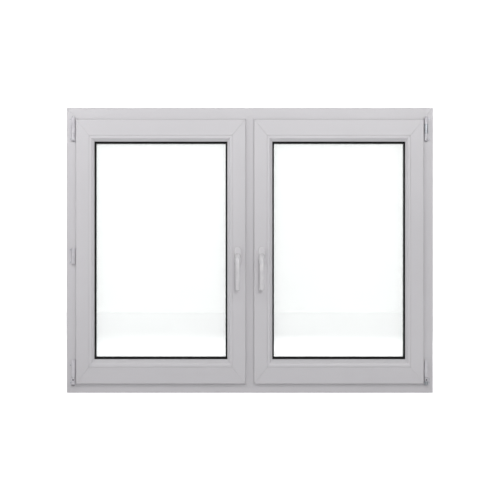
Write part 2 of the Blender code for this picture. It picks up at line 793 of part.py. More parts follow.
def stay_arm(parent):
    """The tilting sash's arm: knuckle on the top pin, flat bar over the top rail, stud in its groove."""
    _, first, second, _ = TOP_HINGE
    arm = barrel("right_stay_arm", 1, first + GAP, second - GAP, coated_metal(), parent)
    edge = SASH_HINGE_EDGE - LIP_WIDTH
    tip = HINGE_X - STAY_LENGTH
    front, back = STAY_Y
    corners = strap_root()
    corners += [(edge - STAY_SHOULDER[0], STRAP_Y[0]), (edge - STAY_SHOULDER[1], front)]
    corners += [(tip - STAY_END, front), (tip - STAY_END, back)]
    corners += [(edge + STRAP_THICKNESS, back), (edge + STRAP_THICKNESS, STRAP_Y[1])]
    outline = [Vector(corner) for corner in corners]
    bar = prism("right_stay_bar", outline, "Z", *STAY_Z)
    stud = rod("right_stay_stud", "Z", (tip, GROOVE_MIDDLE), STUD_RADIUS, STUD_Z, STAY_Z[0] + 0.001)
    join(arm, bar, stud)
    cut(arm, pin_hole("right_stay_bore", 1, first - 0.01, second + 0.01))
    return arm


def middle_hinge(parent):
    """The turning sash's middle hinge: a fixed lower barrel with a pin, and a leaf that turns on it."""
    low, split, high = MIDDLE_HINGE
    bracket = barrel("left_middle_hinge_bracket", -1, low, split - GAP, coated_metal())
    plate = base_plate("left_middle_plate", -1, low + 0.001, high)
    web = knuckle_web("left_middle_web", -1, low + 0.001, split - GAP)
    stub = rod("left_middle_pin", "Z", (-HINGE_X, HINGE_Y), PIN_RADIUS, low + 0.01, high - 0.006)
    join(bracket, plate, web, stub)
    leaf = barrel("left_middle_hinge_leaf", -1, split + GAP, high, coated_metal(), parent)
    join(leaf, leaf_strap("left_middle_strap", -1, split + 0.002, high - 0.003))
    cut(leaf, pin_hole("left_middle_bore", -1, split - 0.01, high - 0.004))


def bottom_bracket(hand, side):
    """The corner bearing on the frame. Only the turning sash's has a pin that stands up."""
    low, block_top, top, _, cover_top = BOTTOM_HINGE
    body_low = low if side < 0 else block_top + GAP
    pin_low, pin_high = (top - 0.01, cover_top - 0.014) if side < 0 else (low + 0.003, top - 0.005)
    bracket = barrel(hand + "_bottom_hinge_bracket", side, body_low, top, coated_metal())
    plate = base_plate(hand + "_bottom_plate", side, low, top)
    web = knuckle_web(hand + "_bottom_web", side, body_low, top)
    stub = rod(hand + "_bottom_pin", "Z", (side * HINGE_X, HINGE_Y), PIN_RADIUS, pin_low, pin_high)
    join(bracket, plate, web, stub)
    return bracket


def bottom_cover(hand, side, parent):
    """The sash's corner strap in its long rounded cover."""
    _, _, _, low, high = BOTTOM_HINGE
    signs = ((-1, -1), (1, -1), (1, 1), (-1, 1))
    centre = side * HINGE_X
    corners = [(centre + a * COVER_HALF, HINGE_Y + b * COVER_HALF, COVER_ROUND) for a, b in signs]
    cover = prism(hand + "_bottom_hinge_strap", filleted(corners), "Z", low, high, coated_metal(), parent)
    join(cover, leaf_strap(hand + "_bottom_strap", side, low + 0.008, high - 0.010))
    if side < 0:
        cut(cover, pin_hole(hand + "_bottom_bore", side, low - 0.01, high - 0.012))
    return cover


def pivot_block(parent):
    """The block that turns on the corner bearing and carries the tilt axis on a short trunnion."""
    low, block_top, _, _, _ = BOTTOM_HINGE
    block = barrel("right_pivot_block", 1, low, block_top - GAP, zinc_steel(), parent)
    ends = (SASH_HINGE_EDGE + 0.0008, HINGE_X - 0.004)
    join(block, rod("right_trunnion", "X", (HINGE_Y, TILT_Z), TRUNNION_RADIUS, *ends))
    cut(block, pin_hole("right_block_bore", 1, low + 0.002, block_top + 0.01))
    return block


def seal_gaps(hand, side, seal, spans):
    """Trims the lip seal down to its foot where a hinge's arm passes under the lip."""
    edge = side * SASH_HINGE_EDGE
    x = [edge + side * reach for reach in SEAL_GAP_REACH]
    for number, (low, high) in enumerate(spans):
        cut(seal, box(f"{hand}_seal_gap_{number}", x, (LIP_BACK, ROOM_FACE), (low - 0.001, high + 0.001)))


def left_sash():
    turning = pivot("left_sash_axis", (-HINGE_X, HINGE_Y, SASH_BOTTOM))
    handle = pivot("left_handle_axis", (-SPINDLE_X, ROSETTE_FRONT, SPINDLE_Z))
    sliding = pivot("left_rod_axis", (-SPINDLE_X, GROOVE_MIDDLE, SPINDLE_Z))
    seal = sash("left", -1, turning)
    rosette("left", -1, turning)
    gearbox("left", -1, turning)
    faceplate("left", -1, turning)
    lever("left", -1, handle)
    spindle("left", -1, handle)
    drive_rod("left", -1, sliding)
    top_leaf(turning)
    middle_hinge(turning)
    bottom_cover("left", -1, turning)
    _, first, second, _ = TOP_HINGE
    _, split, high = MIDDLE_HINGE
    low, top = BOTTOM_HINGE[3:]
    spans = [(first + 0.004, second - 0.010), (split + 0.002, high - 0.003), (low + 0.008, top - 0.010)]
    seal_gaps("left", -1, seal, spans)


def right_sash():
    turning = pivot("right_sash_turn_axis", (HINGE_X, HINGE_Y, TILT_Z))
    tilting = pivot("right_sash_tilt_axis", (HINGE_X, HINGE_Y, TILT_Z))
    staying = pivot("right_stay_axis", (HINGE_X, HINGE_Y, STAY_Z[0]))
    handle = pivot("right_handle_axis", (SPINDLE_X, ROSETTE_FRONT, SPINDLE_Z))
    sliding = pivot("right_rod_axis", (SPINDLE_X, GROOVE_MIDDLE, SPINDLE_Z))
    seal = sash("right", 1, tilting)
    rosette("right", 1, tilting)
    gearbox("right", 1, tilting)
    faceplate("right", 1, tilting)
    lever("right", 1, handle)
    spindle("right", 1, handle)
    drive_rod("right", 1, sliding)
    bottom_cover("right", 1, tilting)
    pivot_block(turning)
    stay_arm(staying)
    _, first, second, _ = TOP_HINGE
    low, top = BOTTOM_HINGE[3:]
    spans = [(STAY_Z[0] - 0.001, second), (low + 0.008, top - 0.010)]
    seal_gaps("right", 1, seal, spans)


def main():
    clear_scene()
    frame()
    for hand, side in (("left", -1), ("right", 1)):
        top_bracket(hand, side)
        bottom_bracket(hand, side)
        striker(hand, side)
    left_sash()
    right_sash()


main()
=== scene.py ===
"""Looks of a white uPVC window: welded frame, fixed mullion, a turning sash and a tilting sash.

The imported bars, beads, panes, seals and lock parts keep their shape and get their finish here.
Both lever handles with their rosettes are rebuilt as smooth castings, and the small parts that a
window maker fits last are added: screws, bearing adjusters, lower keepers, weather-side seals and
drain hoods. Lengths are in metres unless a name ends in mm.
"""

import json
import logging
import math
from collections.abc import Iterable, Sequence
from dataclasses import dataclass, field
from enum import Enum

import bmesh
import bpy
from mathutils import Matrix, Vector

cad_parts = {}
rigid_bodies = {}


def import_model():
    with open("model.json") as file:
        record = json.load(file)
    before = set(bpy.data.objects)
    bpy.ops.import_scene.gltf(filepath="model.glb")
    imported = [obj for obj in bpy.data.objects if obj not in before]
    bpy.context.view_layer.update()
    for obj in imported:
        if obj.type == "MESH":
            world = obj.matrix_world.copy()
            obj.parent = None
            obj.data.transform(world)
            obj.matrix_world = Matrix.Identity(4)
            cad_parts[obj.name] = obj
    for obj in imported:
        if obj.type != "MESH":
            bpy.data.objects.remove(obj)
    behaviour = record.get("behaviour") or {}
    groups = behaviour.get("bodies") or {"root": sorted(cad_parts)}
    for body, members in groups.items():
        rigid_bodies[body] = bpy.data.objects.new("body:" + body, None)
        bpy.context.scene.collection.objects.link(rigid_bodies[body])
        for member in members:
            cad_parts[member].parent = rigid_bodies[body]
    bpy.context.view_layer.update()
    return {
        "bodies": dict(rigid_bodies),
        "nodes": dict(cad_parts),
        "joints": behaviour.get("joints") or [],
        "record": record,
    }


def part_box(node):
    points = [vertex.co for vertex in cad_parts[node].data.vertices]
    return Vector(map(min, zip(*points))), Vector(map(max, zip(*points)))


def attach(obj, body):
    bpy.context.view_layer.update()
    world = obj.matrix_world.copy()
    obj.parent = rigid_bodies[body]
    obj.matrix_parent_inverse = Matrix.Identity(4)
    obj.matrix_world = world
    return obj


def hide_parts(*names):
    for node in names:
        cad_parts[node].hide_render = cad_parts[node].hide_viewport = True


LOG = logging.getLogger("window")
MM = 0.001
EDGE_ANGLE = math.radians(38)
FLAT_FACE_WEIGHT = 100
WELD_DISTANCE = 0.01 * MM
SURFACE_GAP = 0.2 * MM
ROOM_SIDE = Vector((0, -1, 0))
DOWN = Vector((0, 0, -1))
WHITE = (1.0, 1.0, 1.0, 1.0)

# A screw head's cross recess, as shares of the head's radius, and the depth of its outer rim.
CROSS_HALF_WIDTH = 0.16
CROSS_REACH = 0.62
CROSS_DEPTH = 0.45
HEAD_RIM = 0.4 * MM

Outline = list[tuple[float, float]]
Loop = list[Vector]


class Hand(Enum):
    """The side of the mullion that a sash hangs on, with the sign of its X values."""

    LEFT = -1
    RIGHT = 1

    @property
    def word(self) -> str:
        """The word that starts the names of this sash's nodes."""
        return self.name.lower()


class Run(Enum):
    """The way a bar's die lines run, as the stretch of its grain along X, Y and Z."""

    UPRIGHT = (1.0, 1.0, 0.012)
    LEVEL = (0.012, 1.0, 1.0)


# Colour and shader nodes


def linear(hex_colour: str) -> tuple[float, float, float, float]:
    """Turns an sRGB colour into the linear values that a shader takes.

    Args:
        hex_colour: Six hexadecimal digits, red first.

    Returns:
        Linear red, green and blue, with an alpha of 1.
    """
    values = [int(hex_colour[place : place + 2], 16) / 255 for place in (0, 2, 4)]
    red, green, blue = (
        value / 12.92 if value <= 0.04045 else ((value + 0.055) / 1.055) ** 2.4
        for value in values
    )
    return red, green, blue, 1.0


def add_node(
    tree: bpy.types.NodeTree,
    kind: str,
    settings: dict | None = None,
    links: dict | None = None,
) -> bpy.types.Node:
    """Adds one shader node and wires it.

    Args:
        tree: The node tree that gets the node.
        kind: The node's type name, such as ShaderNodeBump.
        settings: Values by the name of a property or of an input socket.
        links: Output sockets by the name or number of the input they feed.

    Returns:
        The new node.
    """
    node = tree.nodes.new(kind)
    for name, value in (settings or {}).items():
        if isinstance(name, str) and hasattr(node, name):
            setattr(node, name, value)
        else:
            node.inputs[name].default_value = value
    for name, socket in (links or {}).items():
        tree.links.new(socket, node.inputs[name])
    return node


def ramp(
    tree: bpy.types.NodeTree,
    factor: bpy.types.NodeSocket,
    stops: Sequence[tuple[float, tuple]],
) -> bpy.types.NodeSocket:
    """Maps a value to colours by a colour ramp.

    Args:
        tree: The node tree.
        factor: The value to map.
        stops: Positions with their linear colours, lowest first; two of them.

    Returns:
        The ramp's colour output.
    """
    node = add_node(tree, "ShaderNodeValToRGB", links={"Fac": factor})
    for element, (position, colour) in zip(node.color_ramp.elements, stops):
        element.position = position
        element.color = colour
    return node.outputs["Color"]


def either_ray(tree: bpy.types.NodeTree, first: str, second: str) -> bpy.types.NodeSocket:
    """Tells whether light arrives on one of two kinds of ray.

    Args:
        tree: The node tree.
        first: An output of the light path, such as Is Diffuse Ray.
        second: Another one.

    Returns:
        A socket that is 1 on either kind of ray and 0 on the others.
    """
    path = add_node(tree, "ShaderNodeLightPath")
    rays = {0: path.outputs[first], 1: path.outputs[second]}
    return add_node(tree, "ShaderNodeMath", {"operation": "MAXIMUM"}, rays).outputs[0]


@dataclass(frozen=True)
class Finish:
    """A surface finish. A subclass wires its own nodes into an empty Principled material."""

    name: str

    def material(self) -> bpy.types.Material:
        """Makes the material at its first use and hands out the same one after that.

        Returns:
            The finished material.
        """
        found = bpy.data.materials.get(self.name)
        if found:
            return found
        made = bpy.data.materials.new(self.name)
        made.use_nodes = True
        self.wire(made.node_tree, made.node_tree.nodes["Principled BSDF"])
        return made

    def wire(self, tree: bpy.types.NodeTree, shader: bpy.types.Node) -> None:
        """Sets the shader's values and wires its patterns.

        Args:
            tree: The material's node tree.
            shader: Its Principled BSDF.
        """
        raise NotImplementedError

    def noise(
        self,
        tree: bpy.types.NodeTree,
        spacing_mm: float,
        stretch: tuple[float, float, float] = (1.0, 1.0, 1.0),
        detail: float = 2.0,
    ) -> bpy.types.NodeSocket:
        """Noise fixed to the piece, with features about spacing_mm apart.

        Args:
            tree: The material's node tree.
            spacing_mm: Distance between neighbouring features.
            stretch: Frequency along X, Y and Z, 1 being that spacing.
            detail: Octaves of finer noise.

        Returns:
            The noise value, from 0 to 1.
        """
        place = add_node(tree, "ShaderNodeTexCoord").outputs["Object"]
        mapped = add_node(tree, "ShaderNodeMapping", {"Scale": stretch}, {"Vector": place})
        settings = {"Scale": 1.0 / (spacing_mm * MM), "Detail": detail}
        links = {"Vector": mapped.outputs["Vector"]}
        noise = add_node(tree, "ShaderNodeTexNoise", settings, links)
        return noise.outputs["Fac"]

    def bump(
        self,
        tree: bpy.types.NodeTree,
        shader: bpy.types.Node,
        layers: Sequence[tuple[bpy.types.NodeSocket, float]],
    ) -> None:
        """Stacks bump layers under the shader.

        Args:
            tree: The material's node tree.
            shader: The Principled BSDF that gets the normal.
            layers: Height sockets with their relief in millimetres.
        """
        normal = None
        for height, relief_mm in layers:
            links = {"Height": height}
            if normal:
                links["Normal"] = normal
            relief = add_node(tree, "ShaderNodeBump", {"Distance": relief_mm * MM}, links)
            normal = relief.outputs["Normal"]
        tree.links.new(normal, shader.inputs["Normal"])


@dataclass(frozen=True)
class ExtrudedUpvc(Finish):
    """White uPVC drawn through a steel die: an even satin skin with faint lines along the bar.

    The die lines break highlights lengthwise, and slow cooling leaves a broad, barely seen ripple.
    Real die lines are finer than a millimetre: they are drawn coarser here, so that they show.
    """

    run: Run = Run.UPRIGHT
    colour: str = "d6d4d7"
    shade: str = "d1cfd2"
    roughness: float = 0.36
    polished: float = 0.04
    dulled: float = 0.05
    cloud_mm: float = 420.0
    die_line_mm: float = 3.2
    grain_mm: float = 0.9
    ripple_mm: float = 38.0

    def wire(self, tree: bpy.types.NodeTree, shader: bpy.types.Node) -> None:
        """See Finish.wire."""
        cloud = self.noise(tree, self.cloud_mm, detail=3.0)
        tone = ramp(tree, cloud, [(0.32, linear(self.shade)), (0.66, linear(self.colour))])
        tree.links.new(tone, shader.inputs["Base Color"])
        lines = self.noise(tree, self.die_line_mm, self.run.value, 3.0)
        spread = {
            "From Min": 0.25,
            "From Max": 0.75,
            "To Min": self.roughness - self.polished,
            "To Max": self.roughness + self.dulled,
        }
        rough = add_node(tree, "ShaderNodeMapRange", spread, {"Value": lines})
        tree.links.new(rough.outputs["Result"], shader.inputs["Roughness"])
        shader.inputs["IOR"].default_value = 1.53
        grain = self.noise(tree, self.grain_mm)
        along = tuple(0.4 + 0.6 * step for step in self.run.value)
        ripple = self.noise(tree, self.ripple_mm, along)
        self.bump(tree, shader, [(lines, 0.02), (grain, 0.006), (ripple, 0.06)])


@dataclass(frozen=True)
class PowderCoat(Finish):
    """Baked polyester powder on die-cast zinc: glossier than the uPVC, with a fine orange peel."""

    colour: str = "e0dee0"
    shade: str = "d8d6d9"
    roughness: float = 0.24
    cloud_mm: float = 26.0
    peel_mm: float = 1.6
    powder_mm: float = 0.35

    def wire(self, tree: bpy.types.NodeTree, shader: bpy.types.Node) -> None:
        """See Finish.wire."""
        cloud = self.noise(tree, self.cloud_mm)
        tone = ramp(tree, cloud, [(0.35, linear(self.shade)), (0.65, linear(self.colour))])
        tree.links.new(tone, shader.inputs["Base Color"])
        shader.inputs["Roughness"].default_value = self.roughness
        shader.inputs["IOR"].default_value = 1.52
        shader.inputs["Coat Weight"].default_value = 0.35
        shader.inputs["Coat Roughness"].default_value = 0.12
        peel = self.noise(tree, self.peel_mm, detail=1.0)
        powder = self.noise(tree, self.powder_mm)
        self.bump(tree, shader, [(peel, 0.02), (powder, 0.004)])


@dataclass(frozen=True)
class ZincPlate(Finish):
    """Bright zinc plating over pressed or cast steel: soft grey metal with drawn streaks."""

    colour: str = "c3c6ca"
    shade: str = "a9adb3"
    roughness: float = 0.34

    def wire(self, tree: bpy.types.NodeTree, shader: bpy.types.Node) -> None:
        """See Finish.wire."""
        streak = self.noise(tree, 2.4, (1.0, 1.0, 0.06), 4.0)
        tone = ramp(tree, streak, [(0.30, linear(self.shade)), (0.72, linear(self.colour))])
        tree.links.new(tone, shader.inputs["Base Color"])
        spread = {"To Min": self.roughness - 0.08, "To Max": self.roughness + 0.12}
        rough = add_node(tree, "ShaderNodeMapRange", spread, {"Value": self.noise(tree, 5.0)})
        tree.links.new(rough.outputs["Result"], shader.inputs["Roughness"])
        shader.inputs["Metallic"].default_value = 1.0
        self.bump(tree, shader, [(streak, 0.02), (self.noise(tree, 0.5), 0.006)])


@dataclass(frozen=True)
class EpdmRubber(Finish):
    """Extruded black EPDM: matt, a little dusty, with a skin that scatters light at its edges."""

    colour: str = "0d0d0e"
    dust: str = "161517"

    def wire(self, tree: bpy.types.NodeTree, shader: bpy.types.Node) -> None:
        """See Finish.wire."""
        cloud = self.noise(tree, 12.0)
        tone = ramp(tree, cloud, [(0.40, linear(self.colour)), (0.72, linear(self.dust))])
        tree.links.new(tone, shader.inputs["Base Color"])
        shader.inputs["Roughness"].default_value = 0.62
        shader.inputs["IOR"].default_value = 1.50
        shader.inputs["Specular IOR Level"].default_value = 0.25
        self.bump(tree, shader, [(self.noise(tree, 0.6), 0.02)])


@dataclass(frozen=True)
class FloatGlass(Finish):
    """Clear float glass: sharp, faint mirror images and hardly any tint. Lamps shine through."""

    tint: str = "fbfdfc"

    def wire(self, tree: bpy.types.NodeTree, shader: bpy.types.Node) -> None:
        """See Finish.wire."""
        shader.inputs["Base Color"].default_value = linear(self.tint)
        shader.inputs["Roughness"].default_value = 0.0
        shader.inputs["IOR"].default_value = 1.52
        shader.inputs["Transmission Weight"].default_value = 1.0
        self.bump(tree, shader, [(self.noise(tree, 240.0, detail=0.0), 0.02)])
        lamp_or_bounce = either_ray(tree, "Is Shadow Ray", "Is Diffuse Ray")
        clear = add_node(tree, "ShaderNodeBsdfTransparent")
        parts = {0: lamp_or_bounce, 1: shader.outputs[0], 2: clear.outputs[0]}
        mixed = add_node(tree, "ShaderNodeMixShader", links=parts)
        tree.links.new(mixed.outputs[0], tree.nodes["Material Output"].inputs["Surface"])


@dataclass(frozen=True)
class MilledAluminium(Finish):
    """Roll-formed aluminium of a pane spacer: dull grey, with fine lines from the rolls."""

    colour: str = "9a9ca0"

    def wire(self, tree: bpy.types.NodeTree, shader: bpy.types.Node) -> None:
        """See Finish.wire."""
        lines = self.noise(tree, 0.8, (1.0, 0.1, 1.0))
        tone = ramp(tree, lines, [(0.30, linear("85878b")), (0.70, linear(self.colour))])
        tree.links.new(tone, shader.inputs["Base Color"])
        shader.inputs["Metallic"].default_value = 1.0
        shader.inputs["Roughness"].default_value = 0.42
        self.bump(tree, shader, [(lines, 0.01)])


UPRIGHT_UPVC = ExtrudedUpvc("extruded_upvc_upright", Run.UPRIGHT)
LEVEL_UPVC = ExtrudedUpvc("extruded_upvc_level", Run.LEVEL)
UPRIGHT_BEAD = ExtrudedUpvc("bead_upvc_upright", Run.UPRIGHT, "dcdadd", "d7d5d8", 0.32)
LEVEL_BEAD = ExtrudedUpvc("bead_upvc_level", Run.LEVEL, "dcdadd", "d7d5d8", 0.32)
HANDLE_COAT = PowderCoat("powder_coated_zinc_handle")
HINGE_COAT = PowderCoat("powder_coated_steel_hinge", "dad8dc", "d0ced3", 0.28)
# The nylon caps are coloured to match the coated metal: the same recipe with a duller skin.
MOULDED_CAP = PowderCoat("moulded_nylon_cap", "d9d7d9", "d2d0d3", 0.40)
ZINC = ZincPlate("zinc_plated_steel")
EPDM = EpdmRubber("black_epdm")
GLASS = FloatGlass("float_glass")
SPACER = MilledAluminium("rolled_aluminium_spacer")


# Mesh building


def make_piece(
    name: str,
    shape: bmesh.types.BMesh,
    finish: Finish,
    body: str,
    bevel_mm: float = 0.0,
) -> bpy.types.Object:
    """Turns a bmesh in frame coordinates into a finished piece that rides on a body.

    Args:
        name: The piece's name.
        shape: Its mesh, which is freed.
        finish: Its finish.
        body: The body that it moves with.
        bevel_mm: Width of a small round on its sharp edges, or 0.

    Returns:
        The new object.
    """
    bmesh.ops.recalc_face_normals(shape, faces=shape.faces)
    mesh = bpy.data.meshes.new(name)
    shape.to_mesh(mesh)
    shape.free()
    mesh.shade_smooth()
    mesh.materials.append(finish.material())
    piece = bpy.data.objects.new(name, mesh)
    bpy.context.scene.collection.objects.link(piece)
    if bevel_mm:
        soften(piece, bevel_mm)
    crisp(piece)
    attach(piece, body)
    return piece


def soften(piece: bpy.types.Object, width_mm: float) -> None:
    """Rounds a piece's sharp edges a little, so that they catch the light as real ones do.

    Args:
        piece: The object.
        width_mm: Width of the round.
    """
    bevel = piece.modifiers.new("softened_edges", "BEVEL")
    bevel.width = width_mm * MM
    bevel.segments = 2
    bevel.limit_method = "ANGLE"
    bevel.angle_limit = EDGE_ANGLE


def crisp(piece: bpy.types.Object) -> None:
    """Keeps flat faces flat to the light, so that only narrow rounds shade smoothly.

    Args:
        piece: The object, after any modifier that changes its shape.
    """
    split = piece.modifiers.new("crisp_edges", "EDGE_SPLIT")
    split.split_angle = EDGE_ANGLE
    weighted = piece.modifiers.new("flat_faces", "WEIGHTED_NORMAL")
    weighted.weight = FLAT_FACE_WEIGHT


def skin(shape: bmesh.types.BMesh, loops: Sequence[Loop], closed: bool = False) -> None:
    """Covers matching loops of points with faces, capped at the ends or closed round.

    Args:
        shape: The mesh that gets the faces.
        loops: Loops of equally many points.
        closed: Whether the last loop joins the first instead of both being capped.
    """
    rows = [[shape.verts.new(point) for point in loop] for loop in loops]
    pairs = list(zip(rows, rows[1:]))
    if closed:
        pairs.append((rows[-1], rows[0]))
    for near, far in pairs:
        for index, vertex in enumerate(near):
            after = (index + 1) % len(near)
            shape.faces.new((vertex, near[after], far[after], far[index]))
    if not closed:
        shape.faces.new(rows[0])
        shape.faces.new(rows[-1])


def circle(radius: float, steps: int) -> Outline:
    """Points round a circle about the origin.

    Args:
        radius: Its radius.
        steps: Number of points.

    Returns:
        The points, anticlockwise.
    """
    turns = [2 * math.pi * step / steps for step in range(steps)]
    return [(radius * math.cos(turn), radius * math.sin(turn)) for turn in turns]


def rounded_box(
    half_width: float, half_height: float, radius: float, steps: int = 8
) -> Outline:
    """The outline of an upright rectangle with round corners, about the origin.

    Args:
        half_width: Half its width.
        half_height: Half its height.
        radius: Corner radius.
        steps: Facets of each corner.

    Returns:
        The points, anticlockwise.
    """
    points = []
    for quarter, (a, b) in enumerate(((1, 1), (-1, 1), (-1, -1), (1, -1))):
        across, up = a * (half_width - radius), b * (half_height - radius)
        for step in range(steps + 1):
            turn = math.pi / 2 * (quarter + step / steps)
            points.append((across + radius * math.cos(turn), up + radius * math.sin(turn)))
    return points


def turned(
    shape: bmesh.types.BMesh,
    profile: Sequence[tuple[float, float]],
    frame: Matrix,
    steps: int = 32,
) -> None:
    """A solid turned about the local Z axis.

    Args:
        shape: The mesh that gets the faces.
        profile: (radius, height) pairs from one end to the other, no radius being 0.
        frame: Where the local axes lie.
        steps: Facets round the axis.
    """
    loops = []
    for radius, height in profile:
        loops.append([frame @ Vector((a, b, height)) for a, b in circle(radius, steps)])
    skin(shape, loops)


def facing(place: Vector, normal: Vector) -> Matrix:
    """A frame at a place, with its Z axis along a normal.

    Args:
        place: The frame's origin.
        normal: The way its Z axis points.

    Returns:
        The frame's matrix.
    """
    turn = Vector((0, 0, 1)).rotation_difference(normal).to_matrix().to_4x4()
    return Matrix.Translation(place) @ turn


def screw_head(
    shape: bmesh.types.BMesh, place: Vector, normal: Vector, radius: float
) -> None:
    """A countersunk screw head with a cross recess, let flush into a surface.

    Args:
        shape: The mesh that gets the head.
        place: The middle of its face.
        normal: The way its face points.
        radius: The head's radius.
    """
    frame = facing(place, normal)
    slot = radius * CROSS_HALF_WIDTH
    reach = radius * CROSS_REACH
    cross = [(reach, slot), (slot, slot), (slot, reach)]
    inner = []
    for quarter in range(4):
        for a, b in cross:
            for _ in range(quarter):
                a, b = -b, a
            inner.append((a, b))
    rim = []
    for a, b in inner:
        length = math.hypot(a, b)
        rim.append((a / length * radius, b / length * radius))
    loops = []
    floor = -radius * CROSS_DEPTH
    for outline, height in ((inner, floor), (inner, 0.0), (rim, 0.0), (rim, -HEAD_RIM)):
        loops.append([frame @ Vector((a, b, height)) for a, b in outline])
    skin(shape, loops)


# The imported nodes


@dataclass
class Carried:
    """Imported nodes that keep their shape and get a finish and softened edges."""

    nodes: dict[str, bpy.types.Object]
    bevel_mm: float = 0.35

    def dress(self, name: str, finish: Finish, bevel_mm: float | None = None) -> None:
        """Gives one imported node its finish.

        Args:
            name: The node's name.
            finish: Its finish.
            bevel_mm: Width of the round on its edges; the class's own if left out.
        """
        node = self.nodes[name]
        node.data.materials.clear()
        node.data.materials.append(finish.material())
        node.data.shade_smooth()
        width = self.bevel_mm if bevel_mm is None else bevel_mm
        weld = node.modifiers.new("welded_points", "WELD")
        weld.merge_threshold = WELD_DISTANCE
        if width:
            soften(node, width)
        crisp(node)

    def dress_all(self, choices: Iterable[tuple[str, Finish]]) -> None:
        """Dresses several nodes.

        Args:
            choices: Node names with their finishes.
        """
        for name, finish in choices:
            self.dress(name, finish)
            LOG.info("dressed %s as %s", name, finish.name)


@dataclass
class FrameBars:
    """The welded frame, its mullion, its seals and the drain hoods on the weather side."""

    carried: Carried
    hood_size: tuple[float, float, float] = (0.046, 0.0048, 0.013)
    hood_height: float = 0.022
    hood_round: float = 0.0028
    hoods_per_side: int = 2

    def build(self) -> None:
        """Dresses the frame and adds its drain hoods."""
        self.carried.dress_all(
            [
                ("frame_jamb_left", UPRIGHT_UPVC),
                ("frame_jamb_right", UPRIGHT_UPVC),
                ("mullion", UPRIGHT_UPVC),
                ("frame_head", LEVEL_UPVC),
                ("frame_sill", LEVEL_UPVC),
            ]
        )
        for hand in Hand:
            self.carried.dress("frame_seal_" + hand.word, EPDM, 0.0)
        self.add_hoods()

    def add_hoods(self) -> None:
        """Small hoods over the drain slots of the sill, with a lip that throws water off."""
        low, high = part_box("frame_sill")
        count = 2 * self.hoods_per_side
        for number in range(count):
            middle = low.x + (high.x - low.x) * (number + 0.5) / count
            shape = bmesh.new()
            width, proud, tall = self.hood_size
            levels = ((0.0, 0.0, 1.0), (proud * 0.5, 0.001, 0.94), (proud, -0.0012, 0.80))
            loops = []
            for out, drop, share in levels:
                half = (width / 2 * share, tall / 2 * share)
                base = Vector((middle, high.y + out, self.hood_height + drop))
                outline = rounded_box(*half, self.hood_round * share)
                loops.append([base + Vector((a, 0, b)) for a, b in outline])
            skin(shape, loops)
            make_piece(f"drain_hood_{number}", shape, MOULDED_CAP, "frame")
            LOG.info("built drain_hood_%d", number)


@dataclass
class Sash:
    """One sash: welded bars, glazing beads, panes, seals, and the lock parts let into it."""

    hand: Hand
    carried: Carried
    weather_seal_width: float = 0.0026
    weather_seal_proud: float = 0.0016

    @property
    def body(self) -> str:
        """The body that the sash rides on."""
        return self.hand.word + "_sash"

    def build(self) -> None:
        """Dresses the sash and adds its weather-side glazing seal."""
        word = self.hand.word
        self.carried.dress_all(
            [
                (word + "_sash_top_rail", LEVEL_UPVC),
                (word + "_sash_bottom_rail", LEVEL_UPVC),
                (word + "_sash_hinge_stile", UPRIGHT_UPVC),
                (word + "_sash_lock_stile", UPRIGHT_UPVC),
                (word + "_bead_top", LEVEL_BEAD),
                (word + "_bead_bottom", LEVEL_BEAD),
                (word + "_bead_left", UPRIGHT_BEAD),
                (word + "_bead_right", UPRIGHT_BEAD),
                (word + "_gearbox", ZINC),
                (word + "_lock_faceplate", ZINC),
            ]
        )
        for name, finish in (
            ("inner_pane", GLASS),
            ("outer_pane", GLASS),
            ("glass_spacer", SPACER),
            ("glazing_gasket", EPDM),
            ("sash_seal", EPDM),
        ):
            self.carried.dress(f"{word}_{name}", finish, 0.0)
        self.add_weather_seal()

    def add_weather_seal(self) -> None:
        """A thin black wedge that fills the joint between the outer pane and the weather lip."""
        word = self.hand.word
        _, pane_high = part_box(word + "_outer_pane")
        stile_low, stile_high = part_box(word + "_sash_hinge_stile")
        rail_low, rail_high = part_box(word + "_sash_top_rail")
        _, lower_rail_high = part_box(word + "_sash_bottom_rail")
        reach = stile_high.x - stile_low.x
        left, right = rail_low.x + reach, rail_high.x - reach
        bottom, top = lower_rail_high.z, rail_low.z
        face = pane_high.y + SURFACE_GAP
        tip = face + self.weather_seal_proud
        section = ((0.0, face), (self.weather_seal_width, face), (0.0, tip))
        lower = ((left, bottom, 1, 1), (right, bottom, -1, 1))
        upper = ((right, top, -1, -1), (left, top, 1, -1))
        loops = []
        for x, z, a, b in lower + upper:
            loop = []
            for inset, y in section:
                step = inset + SURFACE_GAP
                loop.append(Vector((x + a * step, y, z + b * step)))
            loops.append(loop)
        shape = bmesh.new()
        skin(shape, loops, closed=True)
        make_piece(word + "_weather_glazing_seal", shape, EPDM, self.body)
        LOG.info("built %s_weather_glazing_seal", word)


